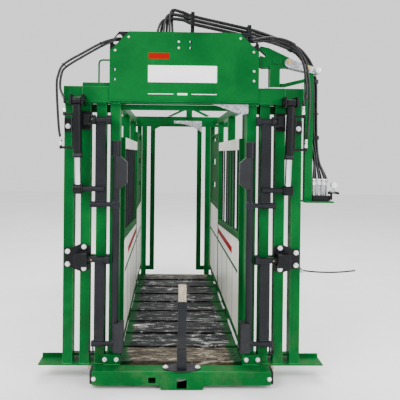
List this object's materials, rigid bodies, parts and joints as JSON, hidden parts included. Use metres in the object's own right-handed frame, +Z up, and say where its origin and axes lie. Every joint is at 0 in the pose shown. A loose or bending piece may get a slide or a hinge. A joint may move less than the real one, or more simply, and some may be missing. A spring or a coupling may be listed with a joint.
{
  "type": "cattle squeeze chute",
  "caption": "Hydraulic squeeze chute: an open steel cage with tilting side panels, sliding head and tail gates, a neck extender and a swinging control boom.",
  "frame": {"origin": "centre of the bottom face of the middle cross member, on the ground at mid length", "axes": "+Y from the head end to the tail end, +Z up, +X to the side of the control boom"},
  "size_m": [2.1198, 2.711, 2.4733],
  "materials": {
    "green_paint": "gloss enamel",
    "dark_paint": "satin powder coat",
    "black_paint": "satin powder coat",
    "zinc_plate": "galvanised",
    "chrome_rod": "polished",
    "worn_tread": "worn to bare metal",
    "cream_board": "satin",
    "pad_rubber": "matte",
    "hose_rubber": "matte",
    "bare_steel": "worn"
  },
  "bodies": {
    "root": {"base_rails": "green_paint", "base_cross_members": "green_paint", "front_base_beam": "green_paint", "beam_end_caps": "black_paint", "hitch_receiver": "green_paint", "floor_treads": "worn_tread", "foot_plates": "green_paint", "front_posts_left": "green_paint", "front_posts_right": "green_paint", "header_beam": "green_paint", "rear_frame": "green_paint", "side_frames": "green_paint", "sign_panel": "green_paint", "hose_brackets": "black_paint", "galvanised_plates": "zinc_plate", "bearing_brackets": "black_paint", "cylinder_brackets": "black_paint", "frame_bolts": "zinc_plate", "center_post": "dark_paint", "gate_tracks": "green_paint", "hinge_pins": "zinc_plate", "hose_guard_rod": "green_paint", "hydraulic_manifold": "zinc_plate", "hoses_top": "hose_rubber", "hoses_pivot": "hose_rubber", "hose_pair_left": "hose_rubber", "hose_pair_right": "hose_rubber"},
    "upper_arm_left": {"upper_arm_left": "dark_paint"},
    "upper_arm_right": {"upper_arm_right": "dark_paint"},
    "lower_arm_left": {"lower_arm_left": "dark_paint"},
    "lower_arm_right": {"lower_arm_right": "dark_paint"},
    "neck_bar_left": {"neck_bar_left": "dark_paint", "neck_pads_left": "pad_rubber"},
    "neck_bar_right": {"neck_bar_right": "dark_paint", "neck_pads_right": "pad_rubber"},
    "cylinder_left": {"neck_cylinder_left": "black_paint"},
    "cylinder_right": {"neck_cylinder_right": "black_paint"},
    "rod_left": {"cylinder_rod_left": "chrome_rod"},
    "rod_right": {"cylinder_rod_right": "chrome_rod"},
    "head_leaf_left": {"head_gate_left": "green_paint"},
    "head_leaf_right": {"head_gate_right": "green_paint"},
    "tail_leaf_left": {"tail_gate_left": "green_paint"},
    "tail_leaf_right": {"tail_gate_right": "green_paint"},
    "squeeze_left": {"squeeze_frame_left": "green_paint", "squeeze_bars_left": "dark_paint", "squeeze_boards_left": "cream_board"},
    "squeeze_right": {"squeeze_frame_right": "green_paint", "squeeze_bars_right": "dark_paint", "squeeze_boards_right": "cream_board"},
    "post_insert": {"center_post_insert": "bare_steel"},
    "boom": {"boom_frame": "green_paint", "boom_link": "zinc_plate", "valve_body": "black_paint", "valve_fittings": "zinc_plate", "pressure_gauge": "zinc_plate", "hoses_drop": "hose_rubber"},
    "lever_1": {"valve_lever_1": "black_paint"},
    "lever_2": {"valve_lever_2": "black_paint"},
    "lever_3": {"valve_lever_3": "black_paint"},
    "release_lever": {"release_lever": "dark_paint"}
  },
  "joints": [
    {"name": "neck_extender_swing", "type": "hinge", "parent": "root", "child": "upper_arm_left", "pos_m": [-0.543, -1.3095, 1.724], "axis": [-1, 0, 0], "range_deg": [0, 40], "deforming": ["hose_pair_left", "hose_pair_right"]},
    {"name": "lower_arm_left_swing", "type": "hinge", "parent": "root", "child": "lower_arm_left", "pos_m": [-0.543, -1.3095, 0.815], "axis": [-1, 0, 0], "range_deg": [0, 40]},
    {"name": "neck_bar_left_pivot", "type": "hinge", "parent": "upper_arm_left", "child": "neck_bar_left", "pos_m": [-0.432, -1.3095, 1.174], "axis": [-1, 0, 0], "range_deg": [-40, 0]},
    {"name": "cylinder_left_swing", "type": "hinge", "parent": "root", "child": "cylinder_left", "pos_m": [-0.685, -1.3695, 1.84], "axis": [-1, 0, 0], "range_deg": [0, 32.5]},
    {"name": "cylinder_left_stroke", "type": "slide", "parent": "cylinder_left", "child": "rod_left", "axis": [0, 0.1056, -0.9944], "range_m": [-0.05455, 0]},
    {"name": "upper_arm_right_swing", "type": "hinge", "parent": "root", "child": "upper_arm_right", "pos_m": [0.543, -1.3095, 1.724], "axis": [-1, 0, 0], "range_deg": [0, 40]},
    {"name": "lower_arm_right_swing", "type": "hinge", "parent": "root", "child": "lower_arm_right", "pos_m": [0.543, -1.3095, 0.815], "axis": [-1, 0, 0], "range_deg": [0, 40]},
    {"name": "neck_bar_right_pivot", "type": "hinge", "parent": "upper_arm_right", "child": "neck_bar_right", "pos_m": [0.432, -1.3095, 1.174], "axis": [-1, 0, 0], "range_deg": [-40, 0]},
    {"name": "cylinder_right_swing", "type": "hinge", "parent": "root", "child": "cylinder_right", "pos_m": [0.685, -1.3695, 1.84], "axis": [-1, 0, 0], "range_deg": [0, 32.5]},
    {"name": "cylinder_right_stroke", "type": "slide", "parent": "cylinder_right", "child": "rod_right", "axis": [0, 0.1056, -0.9944], "range_m": [-0.05455, 0]},
    {"name": "head_gate_slide", "type": "slide", "parent": "root", "child": "head_leaf_left", "axis": [1, 0, 0], "range_m": [0, 0.34]},
    {"name": "head_gate_right_slide", "type": "slide", "parent": "root", "child": "head_leaf_right", "axis": [-1, 0, 0], "range_m": [0, 0.34]},
    {"name": "tail_gate_slide", "type": "slide", "parent": "root", "child": "tail_leaf_left", "axis": [1, 0, 0], "range_m": [0, 0.25]},
    {"name": "tail_gate_right_slide", "type": "slide", "parent": "root", "child": "tail_leaf_right", "axis": [-1, 0, 0], "range_m": [0, 0.25]},
    {"name": "squeeze_tilt", "type": "hinge", "parent": "root", "child": "squeeze_left", "pos_m": [-0.43, 0, 0.16], "axis": [0, 1, 0], "range_deg": [0, 8]},
    {"name": "squeeze_right_tilt", "type": "hinge", "parent": "root", "child": "squeeze_right", "pos_m": [0.43, 0, 0.16], "axis": [0, -1, 0], "range_deg": [0, 8]},
    {"name": "post_insert_slide", "type": "slide", "parent": "root", "child": "post_insert", "axis": [0, 0, 1], "range_m": [0, 0.15]},
    {"name": "boom_swing", "type": "hinge", "parent": "root", "child": "boom", "pos_m": [0.601, -1.24, 2], "axis": [0, 0, 1], "range_deg": [0, 90], "deforming": ["hoses_pivot"]},
    {"name": "valve_lever_1_tilt", "type": "hinge", "parent": "boom", "child": "lever_1", "pos_m": [0.985, -1.264, 1.256], "axis": [0, 1, 0], "range_deg": [-15, 15], "stiffness_Nm_per_rad": 0.6},
    {"name": "valve_lever_2_tilt", "type": "hinge", "parent": "boom", "child": "lever_2", "pos_m": [0.985, -1.24, 1.256], "axis": [0, 1, 0], "range_deg": [-15, 15], "stiffness_Nm_per_rad": 0.6},
    {"name": "valve_lever_3_tilt", "type": "hinge", "parent": "boom", "child": "lever_3", "pos_m": [0.985, -1.216, 1.256], "axis": [0, 1, 0], "range_deg": [-15, 15], "stiffness_Nm_per_rad": 0.6},
    {"name": "release_lever_lift", "type": "hinge", "parent": "root", "child": "release_lever", "pos_m": [0.803, -1.225, 0.731], "axis": [0, -1, 0], "range_deg": [0, 25]}
  ],
  "couplings": [
    {"joint": "lower_arm_left_swing", "follows": "neck_extender_swing", "ratio": 1},
    {"joint": "neck_bar_left_pivot", "follows": "neck_extender_swing", "ratio": -1},
    {"joint": "cylinder_left_swing", "follows": "neck_extender_swing", "ratio": 0.81227},
    {"joint": "cylinder_left_stroke", "follows": "neck_extender_swing", "m_per_rad": -0.078126},
    {"joint": "upper_arm_right_swing", "follows": "neck_extender_swing", "ratio": 1},
    {"joint": "lower_arm_right_swing", "follows": "neck_extender_swing", "ratio": 1},
    {"joint": "neck_bar_right_pivot", "follows": "neck_extender_swing", "ratio": -1},
    {"joint": "cylinder_right_swing", "follows": "neck_extender_swing", "ratio": 0.81227},
    {"joint": "cylinder_right_stroke", "follows": "neck_extender_swing", "m_per_rad": -0.078126},
    {"joint": "head_gate_right_slide", "follows": "head_gate_slide", "ratio": 1},
    {"joint": "tail_gate_right_slide", "follows": "tail_gate_slide", "ratio": 1},
    {"joint": "squeeze_right_tilt", "follows": "squeeze_tilt", "ratio": 1}
  ]
}
